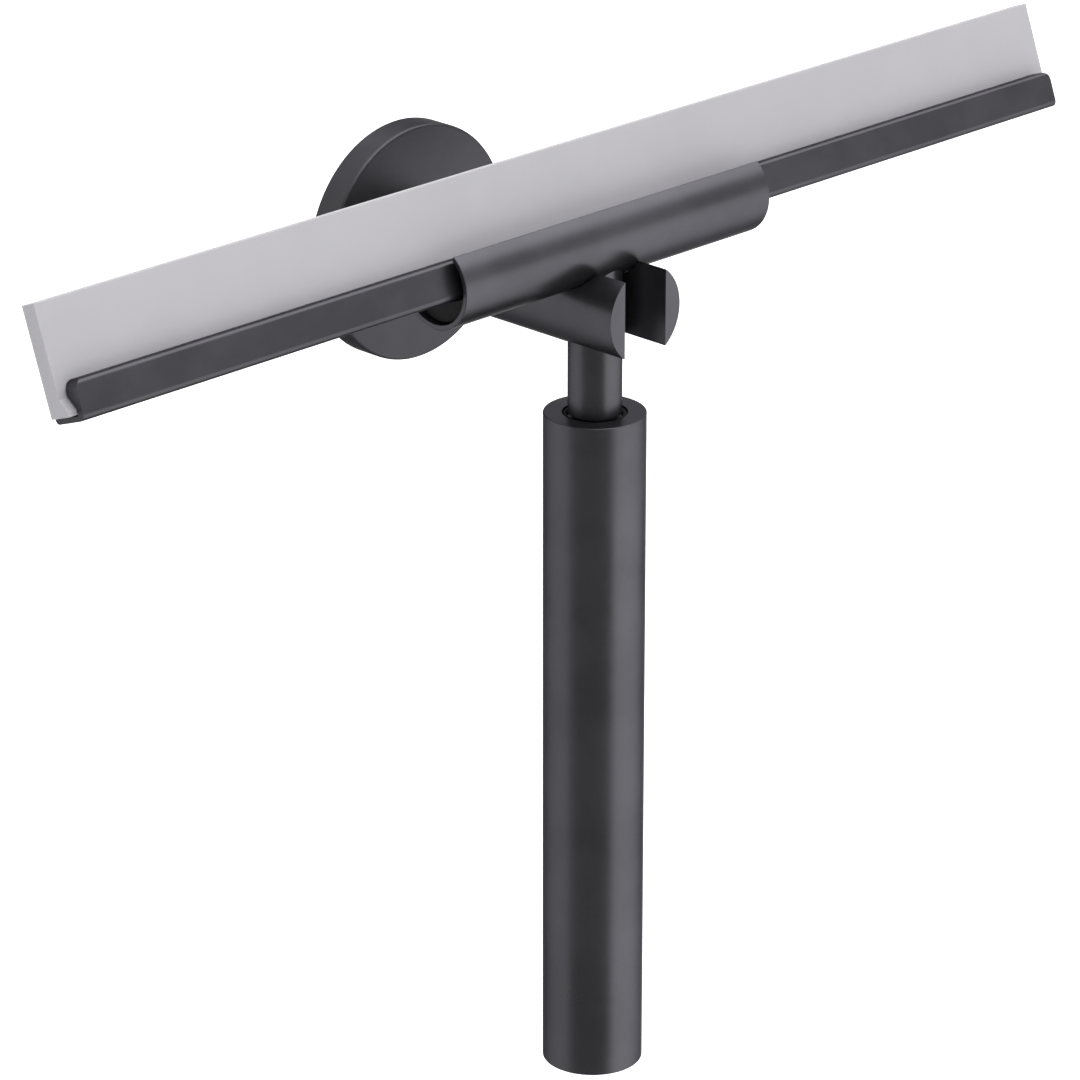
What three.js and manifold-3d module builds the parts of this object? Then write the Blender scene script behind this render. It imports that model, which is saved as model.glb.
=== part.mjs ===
// A window cleaning squeegee resting in its wall holder: a forked arm on a round rosette carries the head's
// sleeve in a saddle, and the neck and handle hang down through the fork.
// Millimetres, +Z up, -Y out of the wall, X along the blade, origin at the centre of the wall plate's back.
import * as THREE from 'three';
import { mergeVertices } from 'three/addons/utils/BufferGeometryUtils.js';
import Module from 'manifold-3d';

const wasm = await Module();
wasm.setup();

// Driving dimensions
const gap = 0.3; // between two pieces that touch
const sides = { fine: 48, small: 16 }; // facets round a large and a small circle
const reachPast = 1; // how far a cutter runs past the face it opens

const cover = { radius: 26.2, depth: 6.9, wall: 1.6, ringRadius: 1.1, ringFacets: 8 };
const plate = { thickness: 4, rimClearance: 0.8, bossRadius: 6, bossReach: 43, dimpleDepth: 1,
  screwSpread: 14, screwRadius: 2.3, sinkRadius: 4.4 };
const arm = { radius: 10.4, reach: 74.3 };
const neck = { radius: 5.8, reach: 59.8, spigotRadius: 4.5, spigotLength: 22, tappedDepth: 14 };
const sleeve = { radius: 9.4, wall: 1.1, length: 90.8, height: 13.4, setback: 1.6, mouthDegrees: 116 };
const insert = { endInset: 1.5, wrapDegrees: 230, frontWall: 1.5 };
const channel = { endOverhang: 2, forward: 0.6, wall: 1.1, frontWall: 1.6, rise: 4.7, drop: 3.4,
  cornerRadius: 1, frontCornerRadius: 1.3 };
const blade = { length: 293, thickness: 3.8, height: 20.5, tiltDegrees: 20, heelEdge: 1.1, heelDegrees: 54 };
const handle = { radius: 11, wall: 1.7, length: 151.7, top: -25.1, topWall: 6, seatRim: 1.1,
  seatThickness: 0.9, plugLength: 14, coverThickness: 2 };
const neckScrew = { headRadius: 3.3, headHeight: 1.6, headLand: 0.3, shankRadius: 2, length: 14,
  hexAcrossFlats: 2.5, hexDepth: 0.8 };
const tieBolt = { headRadius: 5, headHeight: 4, shankRadius: 3, hexAcrossFlats: 5, hexDepth: 2.4 };
const washer = { radius: 6, thickness: 1.2 };
const springWasher = { radius: 5.4, thickness: 1.4, splitWidth: 1.2 };
const grub = { radius: 2, hexAcrossFlats: 2, hexDepth: 1.6, spread: 18 };
const armGrub = { radius: 2.5, hexAcrossFlats: 2.5, hexDepth: 2, inset: 5 };

// Sizes that follow from them
const blockedSlot = neck.radius + gap; // half the fork's slot, and the round of its closed end
const saddleRadius = sleeve.radius + gap;
const boreRadius = sleeve.radius - sleeve.wall; // inside of the sleeve
const handleBore = handle.radius - handle.wall;
const seatRadius = neck.radius + handle.seatRim;
const channelLength = blade.length - 2 * channel.endOverhang;
const handleBottom = handle.top - handle.length;
const sleeveY = -neck.reach + sleeve.setback;
const coverBore = cover.radius - cover.wall;
const plateRadius = coverBore - plate.rimClearance;
const ringMiddle = coverBore - gap - cover.ringRadius; // from the arm's axis to the middle of the section
const grubY = -(plate.bossReach - armGrub.inset);

const finishes = {
  anthracite: { color: 0x55565a, roughness: 0.45, metalness: 0.75 },
  darkPlastic: { color: 0x1d1d20, roughness: 0.6, metalness: 0 },
  silicone: { color: 0xbcbcc2, roughness: 0.55, metalness: 0 },
  steel: { color: 0x9a9da1, roughness: 0.35, metalness: 1 },
  rubber: { color: 0x111113, roughness: 0.8, metalness: 0 },
};

const radians = THREE.MathUtils.degToRad;
const point = (x, y) => new THREE.Vector2(x, y);

// A closed three.js geometry as a solid that can be joined and cut.
function solidOf(geometry) {
  const bare = geometry.clone();
  bare.deleteAttribute('normal');
  bare.deleteAttribute('uv');
  const merged = mergeVertices(bare, 1e-4);
  const triVerts = new Uint32Array(merged.index.array);
  const vertProperties = new Float32Array(merged.attributes.position.array);
  return new wasm.Manifold(new wasm.Mesh({ numProp: 3, vertProperties, triVerts }));
}

// A solid back as flat-shaded three.js geometry.
function geometryOf(solid) {
  const { vertProperties, triVerts } = solid.getMesh();
  const shared = new THREE.BufferGeometry();
  shared.setAttribute('position', new THREE.BufferAttribute(vertProperties, 3));
  shared.setIndex(new THREE.BufferAttribute(triVerts, 1));
  const faceted = shared.toNonIndexed();
  faceted.computeVertexNormals();
  return faceted;
}

// Points round an arc, in degrees from the first axis towards the second.
function arc(radius, from, to, centre = [0, 0]) {
  const steps = Math.max(2, Math.round((Math.abs(to - from) / 360) * sides.fine));
  return Array.from({ length: steps + 1 }, (_, i) => {
    const angle = radians(from + ((to - from) * i) / steps);
    return point(centre[0] + radius * Math.cos(angle), centre[1] + radius * Math.sin(angle));
  });
}

// A solid turned about Z from [radius, height] points that run up its outside.
function turned(points, facets = sides.fine) {
  const profile = points.map(([radius, height]) => point(radius, height));
  return solidOf(new THREE.LatheGeometry(profile, facets).rotateX(Math.PI / 2));
}

// A plain bar of round section along Z, from one height to another.
function rod(radius, from, to, facets = sides.fine) {
  return turned([[0, from], [radius, from], [radius, to], [0, to]], facets);
}

// Heights along Z become distances out of the wall.
const outOfWall = (solid) => solid.rotate([90, 0, 0]);

// A solid less each of the cutters.
const cut = (solid, cutters) => cutters.reduce((left, cutter) => left.subtract(cutter), solid);

// A hexagonal socket along Z, to be cut from a screw's end.
function hexSocket(acrossFlats, from, to) {
  return rod(acrossFlats / Math.sqrt(3), from, to, 6);
}

// An outline in the Y-Z plane drawn out along X, half each way.
function drawn(outline, length) {
  const bar = new THREE.ExtrudeGeometry(new THREE.Shape(outline), { depth: length, bevelEnabled: false });
  bar.translate(0, 0, -length / 2);
  const [x, y, z] = [0, 1, 2].map((axis) => new THREE.Vector3().setComponent(axis, 1));
  return solidOf(bar.applyMatrix4(new THREE.Matrix4().makeBasis(y, z, x)));
}

// A box between two corners.
function block(low, high) {
  const [width, depth, height] = high.map((value, axis) => value - low[axis]);
  const middle = high.map((value, axis) => (value + low[axis]) / 2);
  return solidOf(new THREE.BoxGeometry(width, depth, height).translate(...middle));
}

function mesh(name, solid, finish) {
  const made = new THREE.Mesh(geometryOf(solid), new THREE.MeshStandardMaterial(finishes[finish]));
  made.name = name;
  return made;
}

function group(position, ...children) {
  const made = new THREE.Group();
  made.position.set(...position);
  made.add(...children);
  return made;
}

// Wall holder: plate with its boss, the ring and cover round it, the arm and the screw that locks the arm.
function wallPlate() {
  const middle = plate.thickness / 2;
  const grooveRadius = ringMiddle - cover.ringRadius - gap;
  const half = cover.ringRadius + gap;
  const body = turned([
    [0, 0], [plateRadius, 0], [plateRadius, middle - half], [grooveRadius, middle - half],
    [grooveRadius, middle + half], [plateRadius, middle + half], [plateRadius, plate.thickness],
    [plate.bossRadius, plate.thickness], [plate.bossRadius, plate.bossReach], [0, plate.bossReach],
  ]);
  const screwHole = turned([
    [0, -reachPast], [plate.screwRadius, -reachPast], [plate.screwRadius, middle],
    [plate.sinkRadius, plate.thickness + gap], [0, plate.thickness + gap],
  ], sides.small);
  const holes = [-1, 1].map((side) => screwHole.translate([side * plate.screwSpread, 0, 0]));
  const dimpleEnd = plate.dimpleDepth - plate.bossRadius;
  const dimple = rod(armGrub.radius + gap, -plate.bossRadius - reachPast, dimpleEnd, sides.small);
  return outOfWall(cut(body, holes)).subtract(dimple.translate([0, grubY, 0]));
}

// The rubber ring in the plate's groove, which grips the cover.
function coverRing() {
  const section = Array.from({ length: cover.ringFacets + 1 }, (_, i) => {
    const angle = (2 * Math.PI * i) / cover.ringFacets;
    const height = plate.thickness / 2 + cover.ringRadius * Math.sin(angle);
    return [ringMiddle + cover.ringRadius * Math.cos(angle), height];
  });
  return outOfWall(turned(section));
}

function rosetteCover() {
  const eye = arm.radius + gap;
  return outOfWall(turned([
    [coverBore, 0], [cover.radius, 0], [cover.radius, cover.depth], [eye, cover.depth],
    [eye, cover.depth - cover.wall], [coverBore, cover.depth - cover.wall], [coverBore, 0],
  ]));
}

function forkArm() {
  const bar = rod(arm.radius, plate.thickness + gap, arm.reach);
  const bossBore = rod(plate.bossRadius + gap, plate.thickness, plate.bossReach + gap);
  const tall = arm.radius + reachPast;
  const slot = block([-blockedSlot, -arm.reach - reachPast, -tall], [blockedSlot, -neck.reach, tall]);
  const slotEnd = rod(blockedSlot, -tall, tall).translate([0, -neck.reach, 0]);
  const saddle = drawn([
    ...arc(saddleRadius, 180, 360),
    point(saddleRadius, sleeve.radius), point(-saddleRadius, sleeve.radius),
  ], 2 * tall).translate([0, sleeveY, sleeve.height]);
  const grubHole = rod(armGrub.radius + gap, -tall, 0, sides.small);
  return cut(outOfWall(bar.subtract(bossBore)), [slot, slotEnd, saddle, grubHole.translate([0, grubY, 0])]);
}

// A headless screw along Z with a hexagonal socket in its lower end.
function headlessScrew({ radius, hexAcrossFlats, hexDepth }, low, high) {
  const body = rod(radius, low, high, sides.small);
  return body.subtract(hexSocket(hexAcrossFlats, low - reachPast, low + hexDepth));
}

function holderGrubScrew() {
  const tip = plate.dimpleDepth - plate.bossRadius - gap;
  return headlessScrew(armGrub, -arm.radius + gap, tip).translate([0, grubY, 0]);
}

// Head: the sleeve in the saddle, the insert that fills it, the channel and the blade.
const mouth = { from: 90 - sleeve.mouthDegrees / 2, to: 90 + sleeve.mouthDegrees / 2 };
const neckOffset = -sleeve.setback; // the neck's axis from the sleeve's, along Y
const tilted = (solid) => solid.rotate([-blade.tiltDegrees, 0, 0]);

// The channel's section, with its front towards -Y: a box with rounded corners, open along its top.
const bladeHalf = blade.thickness / 2;
const channelFront = boreRadius - insert.frontWall - channel.forward - 2 * gap;
const channelBack = bladeHalf + gap + channel.wall;
const channelFloor = channel.wall - channel.drop;
const heelReach = channelFront - channel.frontWall - gap;
const heelShoulder = channelFloor + gap + blade.heelEdge;
const heelTop = heelShoulder + (heelReach - bladeHalf) * Math.tan(radians(blade.heelDegrees));

// How far the leaning channel's lowest corner lies below the channel's middle.
const cornerMiddle = point(channelBack - channel.cornerRadius, channel.cornerRadius - channel.drop);
const leaned = cornerMiddle.rotateAround(point(0, 0), -radians(blade.tiltDegrees));
const channelLow = channel.cornerRadius - leaned.y;
const screwSeat = -channelLow - gap; // top of the neck screw's head

function bothSides(shape) {
  return [-1, 1].map((side) => shape.translate([side * grub.spread, 0, 0]));
}

// The neck screw's form from its end up to a height, swollen by a clearance.
function screwForm(clearance, top) {
  const [head, shank] = [neckScrew.headRadius, neckScrew.shankRadius].map((radius) => radius + clearance);
  const { length, headHeight, headLand } = neckScrew;
  const [end, cone, land] = [length, headHeight, headLand].map((below) => screwSeat - below - clearance);
  return turned([[0, end], [shank, end], [shank, cone], [head, land], [head, top], [0, top]], sides.small);
}

const screwHole = () => screwForm(gap, 0);

// Cutters for the screws that pass through the sleeve and its insert.
function headHoles() {
  const grubHole = rod(grub.radius + gap, -sleeve.radius - reachPast, 0, sides.small);
  return [screwHole().translate([0, neckOffset, 0]), ...bothSides(grubHole)];
}

function headSleeve() {
  const section = [
    ...arc(sleeve.radius, mouth.to, mouth.from + 360),
    ...arc(boreRadius, mouth.from + 360, mouth.to),
  ];
  return cut(tilted(drawn(section, sleeve.length)), headHoles());
}

// The channel's outside, swollen by a clearance, from the front lip round below and up to the back lip.
function channelOutside(clearance) {
  const [front, back, top] = [channelFront, channelBack, channel.rise].map((reach) => reach + clearance);
  const below = channel.drop + clearance;
  const corner = channel.cornerRadius + clearance;
  const frontCorner = channel.frontCornerRadius + clearance;
  return [
    ...arc(corner, 90, 180, [corner - front, top - corner]),
    ...arc(frontCorner, 180, 270, [frontCorner - front, frontCorner - below]),
    ...arc(corner, -90, 0, [back - corner, corner - below]), point(back, top),
  ];
}

function sleeveInsert() {
  const [low, high] = [-90 - insert.wrapDegrees / 2, -90 + insert.wrapDegrees / 2];
  const length = sleeve.length - 2 * insert.endInset;
  const filling = tilted(drawn(arc(boreRadius - gap, low, high), length));
  const pocket = tilted(drawn(channelOutside(gap), blade.length)).translate([0, -channel.forward, 0]);
  return cut(filling, [pocket, ...headHoles()]);
}

// The countersunk screw that holds the sleeve and insert to the neck.
function headScrew() {
  const socket = hexSocket(neckScrew.hexAcrossFlats, screwSeat - neckScrew.hexDepth, 0);
  return screwForm(0, screwSeat).subtract(socket);
}

function channelGrubScrew() {
  return headlessScrew(grub, -sleeve.radius + gap, -channelLow - gap);
}

// The channel grips the blade between two lips and holds its heel under the front one.
function bladeChannel() {
  const inside = bladeHalf + gap;
  return drawn([
    ...channelOutside(0), point(inside, channel.rise), point(inside, channelFloor),
    point(-heelReach - gap, channelFloor), point(-heelReach - gap, heelShoulder + gap),
    point(-inside, heelTop + gap), point(-inside, channel.rise),
  ], channelLength);
}

function wiperBlade() {
  const root = channelFloor + gap;
  return drawn([
    point(-bladeHalf, blade.height), point(-bladeHalf, heelTop), point(-heelReach, heelShoulder),
    point(-heelReach, root), point(bladeHalf, root), point(bladeHalf, blade.height),
  ], blade.length);
}

// Handle: the neck's shoulder stands on a ring in its top, and a long bolt pulls plug and neck together.
const seatFloor = handle.top - handle.seatThickness - 2 * gap;
const spigotEnd = handle.top - neck.spigotLength;
const plugBottom = handleBottom + handle.coverThickness + gap;
const boltSeat = plugBottom + tieBolt.headHeight + springWasher.thickness + washer.thickness + 3 * gap;
const washerLow = boltSeat - gap - washer.thickness;
const springLow = washerLow - gap - springWasher.thickness;
const underHead = springLow - gap;
const boltHole = tieBolt.shankRadius + gap;

function neckRod() {
  const top = sleeve.height;
  const body = turned([
    [0, spigotEnd], [neck.spigotRadius, spigotEnd], [neck.spigotRadius, handle.top],
    [neck.radius, handle.top], [neck.radius, top], [0, top],
  ]);
  const seat = drawn(arc(saddleRadius, 0, 360 - 360 / sides.fine), 2 * arm.radius)
    .translate([0, sleeve.setback, sleeve.height]);
  const screwBore = screwHole().translate([0, 0, sleeve.height]);
  const boltBore = rod(boltHole, spigotEnd - reachPast, spigotEnd + neck.tappedDepth, sides.small);
  return cut(body, [seat, screwBore, boltBore]);
}

// A flat ring from one height to another.
function ring(inner, outer, low, high, facets = sides.fine) {
  return turned([[inner, low], [outer, low], [outer, high], [inner, high], [inner, low]], facets);
}

// The black ring round the neck, on the floor of the handle's recess.
function neckRing() {
  return ring(neck.spigotRadius + gap, seatRadius, seatFloor + gap, handle.top - gap);
}

function handleTube() {
  const recess = seatRadius + gap;
  const hole = neck.spigotRadius + gap;
  const ceiling = handle.top - handle.topWall;
  return turned([
    [handleBore, handleBottom], [handle.radius, handleBottom], [handle.radius, handle.top],
    [recess, handle.top], [recess, seatFloor], [hole, seatFloor], [hole, ceiling], [handleBore, ceiling],
    [handleBore, handleBottom],
  ]);
}

function handlePlug() {
  const radius = handleBore - gap;
  const top = plugBottom + handle.plugLength;
  const headBore = washer.radius + gap;
  return turned([
    [headBore, plugBottom], [radius, plugBottom], [radius, top], [boltHole, top], [boltHole, boltSeat],
    [headBore, boltSeat], [headBore, plugBottom],
  ]);
}

function boltWasher() {
  return ring(boltHole, washer.radius, washerLow, washerLow + washer.thickness, sides.small);
}

function boltSpringWasher() {
  const high = springLow + springWasher.thickness;
  const half = springWasher.splitWidth / 2;
  const split = block([0, -half, springLow - reachPast], [washer.radius, half, high + reachPast]);
  return ring(boltHole, springWasher.radius, springLow, high, sides.small).subtract(split);
}

function handleBolt() {
  const headEnd = underHead - tieBolt.headHeight;
  const tip = spigotEnd + neck.tappedDepth - gap;
  const body = turned([
    [0, headEnd], [tieBolt.headRadius, headEnd], [tieBolt.headRadius, underHead],
    [tieBolt.shankRadius, underHead], [tieBolt.shankRadius, tip], [0, tip],
  ], sides.small);
  return body.subtract(hexSocket(tieBolt.hexAcrossFlats, headEnd - reachPast, headEnd + tieBolt.hexDepth));
}

function handleEndCover() {
  return rod(handleBore - gap, handleBottom, handleBottom + handle.coverThickness);
}

const holder = group([0, 0, 0],
  mesh('wall_plate', wallPlate(), 'steel'),
  mesh('cover_ring', coverRing(), 'rubber'),
  mesh('rosette_cover', rosetteCover(), 'anthracite'),
  mesh('fork_arm', forkArm(), 'anthracite'),
  mesh('holder_grub_screw', holderGrubScrew(), 'steel'));

const tiltedHead = group([0, -channel.forward, 0],
  mesh('blade_channel', bladeChannel(), 'anthracite'),
  mesh('wiper_blade', wiperBlade(), 'silicone'));
tiltedHead.rotation.x = radians(-blade.tiltDegrees);

const head = group([0, sleeve.setback, sleeve.height],
  mesh('head_sleeve', headSleeve(), 'anthracite'),
  mesh('sleeve_insert', sleeveInsert(), 'darkPlastic'),
  group([0, neckOffset, 0], mesh('head_screw', headScrew(), 'steel')),
  tiltedHead);
for (const [side, name] of [[-1, 'left'], [1, 'right']]) {
  head.add(group([side * grub.spread, 0, 0], mesh(`channel_grub_${name}`, channelGrubScrew(), 'steel')));
}

const grip = group([0, 0, 0],
  mesh('neck_rod', neckRod(), 'anthracite'),
  mesh('neck_ring', neckRing(), 'rubber'),
  mesh('handle_tube', handleTube(), 'anthracite'),
  mesh('handle_bolt', handleBolt(), 'steel'),
  mesh('bolt_washer', boltWasher(), 'steel'),
  mesh('bolt_spring_washer', boltSpringWasher(), 'steel'),
  mesh('handle_plug', handlePlug(), 'darkPlastic'),
  mesh('handle_end_cover', handleEndCover(), 'darkPlastic'));

export default group([0, 0, 0], holder, group([0, -neck.reach, 0], grip, head));
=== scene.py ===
"""The looks of a window cleaning squeegee and its wall holder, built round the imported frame.

Lengths are in metres, +Z is up, -Y points out of the wall and X runs along the blade.
"""

import logging
from dataclasses import dataclass, field
from enum import Enum
from math import cos, hypot, radians, sin, sqrt
from typing import Callable

import bmesh
import bpy
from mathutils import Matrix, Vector


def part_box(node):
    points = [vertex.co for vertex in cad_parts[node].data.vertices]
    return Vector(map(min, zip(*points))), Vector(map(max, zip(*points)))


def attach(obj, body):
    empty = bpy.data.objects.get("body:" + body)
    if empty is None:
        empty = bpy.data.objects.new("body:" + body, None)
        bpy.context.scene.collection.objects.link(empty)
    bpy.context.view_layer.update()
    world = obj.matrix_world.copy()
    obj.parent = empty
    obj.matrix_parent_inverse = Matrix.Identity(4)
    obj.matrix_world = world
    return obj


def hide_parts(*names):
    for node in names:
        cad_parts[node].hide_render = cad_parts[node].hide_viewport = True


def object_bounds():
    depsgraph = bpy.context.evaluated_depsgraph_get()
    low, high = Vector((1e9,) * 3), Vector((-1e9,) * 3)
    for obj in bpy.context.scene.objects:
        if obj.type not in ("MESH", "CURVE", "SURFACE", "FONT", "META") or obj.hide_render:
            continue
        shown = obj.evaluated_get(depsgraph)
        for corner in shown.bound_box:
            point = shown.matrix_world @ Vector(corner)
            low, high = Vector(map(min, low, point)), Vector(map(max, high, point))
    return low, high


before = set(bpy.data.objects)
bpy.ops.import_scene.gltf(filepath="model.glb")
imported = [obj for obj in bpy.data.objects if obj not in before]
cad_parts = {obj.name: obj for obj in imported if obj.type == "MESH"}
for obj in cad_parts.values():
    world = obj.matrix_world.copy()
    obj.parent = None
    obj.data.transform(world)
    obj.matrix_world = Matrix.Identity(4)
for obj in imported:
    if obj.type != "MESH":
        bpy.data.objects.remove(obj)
CAD_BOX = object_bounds()

MM = 0.001
LOG = logging.getLogger("squeegee")
WELD = 0.01 * MM
SCREW_EDGE = 0.25 * MM
FACING = 0.9
DUST_COLOUR = (0.6, 0.59, 0.57, 1)
SOFT_SCATTER = (1.0, 0.9, 0.85)
SCATTER_DEPTH = 2.0 * MM


class Axis(Enum):
    """The row axes that a round or drawn piece can lie along, each with the turn that lays it there."""

    X = (0.0, radians(90), 0.0)
    Y = (radians(90), 0.0, 0.0)
    Z = (0.0, 0.0, 0.0)


class Slot(Enum):
    """The record's material slots."""

    COAT = "anthracite_metal"
    CHANNEL = "channel_metal"
    SILICONE = "silicone"
    STEEL = "fixing_steel"
    RUBBER = "black_rubber"
    PLASTIC = "black_plastic"


class Body(Enum):
    """The bodies that move as one."""

    HOLDER = "wall_holder"
    SQUEEGEE = "squeegee"
    BLADE = "blade"


# ---------------------------------------------------------------- shader effects shared by the finishes


class Effect:
    """A shader node group, built once, that puts out values from a position on the piece."""

    def __init__(self, name: str, inputs: dict[str, float], outputs: list[str]) -> None:
        """Makes an empty group with a Vector input.

        Args:
            name: The group's name.
            inputs: Number inputs with their default values.
            outputs: Number outputs.
        """
        self.tree = bpy.data.node_groups.new(name, "ShaderNodeTree")
        vector = self.tree.interface.new_socket("Vector", in_out="INPUT", socket_type="NodeSocketVector")
        vector.hide_value = True
        for label, value in inputs.items():
            socket = self.tree.interface.new_socket(label, in_out="INPUT", socket_type="NodeSocketFloat")
            socket.default_value = value
        for label in outputs:
            self.tree.interface.new_socket(label, in_out="OUTPUT", socket_type="NodeSocketFloat")
        self.source = self.tree.nodes.new("NodeGroupInput")
        self.result = self.tree.nodes.new("NodeGroupOutput")

    def link(self, output: bpy.types.NodeSocket, target: bpy.types.NodeSocket) -> None:
        """Joins two sockets of the group."""
        self.tree.links.new(output, target)

    def noise(self, scale: str | float, detail: float, roughness: float = 0.55) -> bpy.types.Node:
        """Adds a noise texture on the group's Vector.

        Args:
            scale: The input that sets the scale, or a fixed scale.
            detail: Octaves of noise.
            roughness: How strong the finer octaves are.

        Returns:
            The noise node.
        """
        node = self.tree.nodes.new("ShaderNodeTexNoise")
        node.inputs["Detail"].default_value = detail
        node.inputs["Roughness"].default_value = roughness
        self.link(self.source.outputs["Vector"], node.inputs["Vector"])
        if isinstance(scale, str):
            self.link(self.source.outputs[scale], node.inputs["Scale"])
        else:
            node.inputs["Scale"].default_value = scale
        return node

    def spread(self, value: bpy.types.NodeSocket, low: float, high: float) -> bpy.types.NodeSocket:
        """Maps a stretch of a value to 0 to 1, with soft ends.

        Args:
            value: What is mapped.
            low: What becomes 0.
            high: What becomes 1.

        Returns:
            The mapped value.
        """
        node = self.tree.nodes.new("ShaderNodeMapRange")
        node.interpolation_type = "SMOOTHSTEP"
        node.inputs["From Min"].default_value = low
        node.inputs["From Max"].default_value = high
        self.link(value, node.inputs["Value"])
        return node.outputs["Result"]

    def math(self, operation: str, first: bpy.types.NodeSocket,
             second: bpy.types.NodeSocket | float) -> bpy.types.NodeSocket:
        """Adds a math node.

        Args:
            operation: The node's operation.
            first: Its first value.
            second: Its second value, another socket or a number.

        Returns:
            The node's output.
        """
        node = self.tree.nodes.new("ShaderNodeMath")
        node.operation = operation
        self.link(first, node.inputs[0])
        if isinstance(second, bpy.types.NodeSocket):
            self.link(second, node.inputs[1])
        else:
            node.inputs[1].default_value = second
        return node.outputs[0]


class Effects:
    """The effects that the finishes share."""

    def __init__(self) -> None:
        """Builds each effect once."""
        self.grain = self.build_grain()
        self.handling = self.build_handling()
        self.drawn_lines = self.build_drawn_lines()

    @staticmethod
    def build_grain() -> bpy.types.ShaderNodeTree:
        """Fine pebbled skin of a sprayed coat or a moulding: Height, and a mottled Tone from 0 to 1."""
        effect = Effect("skin_grain", {"Scale": 4000.0}, ["Height", "Tone"])
        fine = effect.noise("Scale", detail=2.0)
        swell = effect.noise(260.0, detail=2.0)
        lifted = effect.math("MULTIPLY", swell.outputs["Fac"], 0.35)
        effect.link(effect.math("ADD", fine.outputs["Fac"], lifted), effect.result.inputs["Height"])
        mottle = effect.noise(48.0, detail=5.0, roughness=0.6)
        effect.link(effect.spread(mottle.outputs["Fac"], 0.34, 0.66), effect.result.inputs["Tone"])
        return effect.tree

    @staticmethod
    def build_handling() -> bpy.types.ShaderNodeTree:
        """Faint wiped and fingered patches: a Mask from 0 to 1 and fine Specks of settled dust."""
        effect = Effect("handling_marks", {"Patch Scale": 30.0}, ["Mask", "Specks"])
        patch = effect.noise("Patch Scale", detail=6.0, roughness=0.62)
        effect.link(effect.spread(patch.outputs["Fac"], 0.46, 0.7), effect.result.inputs["Mask"])
        dust = effect.noise(1500.0, detail=1.0)
        effect.link(effect.spread(dust.outputs["Fac"], 0.7, 0.8), effect.result.inputs["Specks"])
        return effect.tree

    @staticmethod
    def build_drawn_lines() -> bpy.types.ShaderNodeTree:
        """Hair-fine lines left along a drawn bar. The Vector comes squeezed along the lines."""
        effect = Effect("drawn_lines", {"Scale": 900.0}, ["Height"])
        lines = effect.noise("Scale", detail=4.0, roughness=0.7)
        effect.link(lines.outputs["Fac"], effect.result.inputs["Height"])
        return effect.tree


# ---------------------------------------------------------------- finishes


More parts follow.
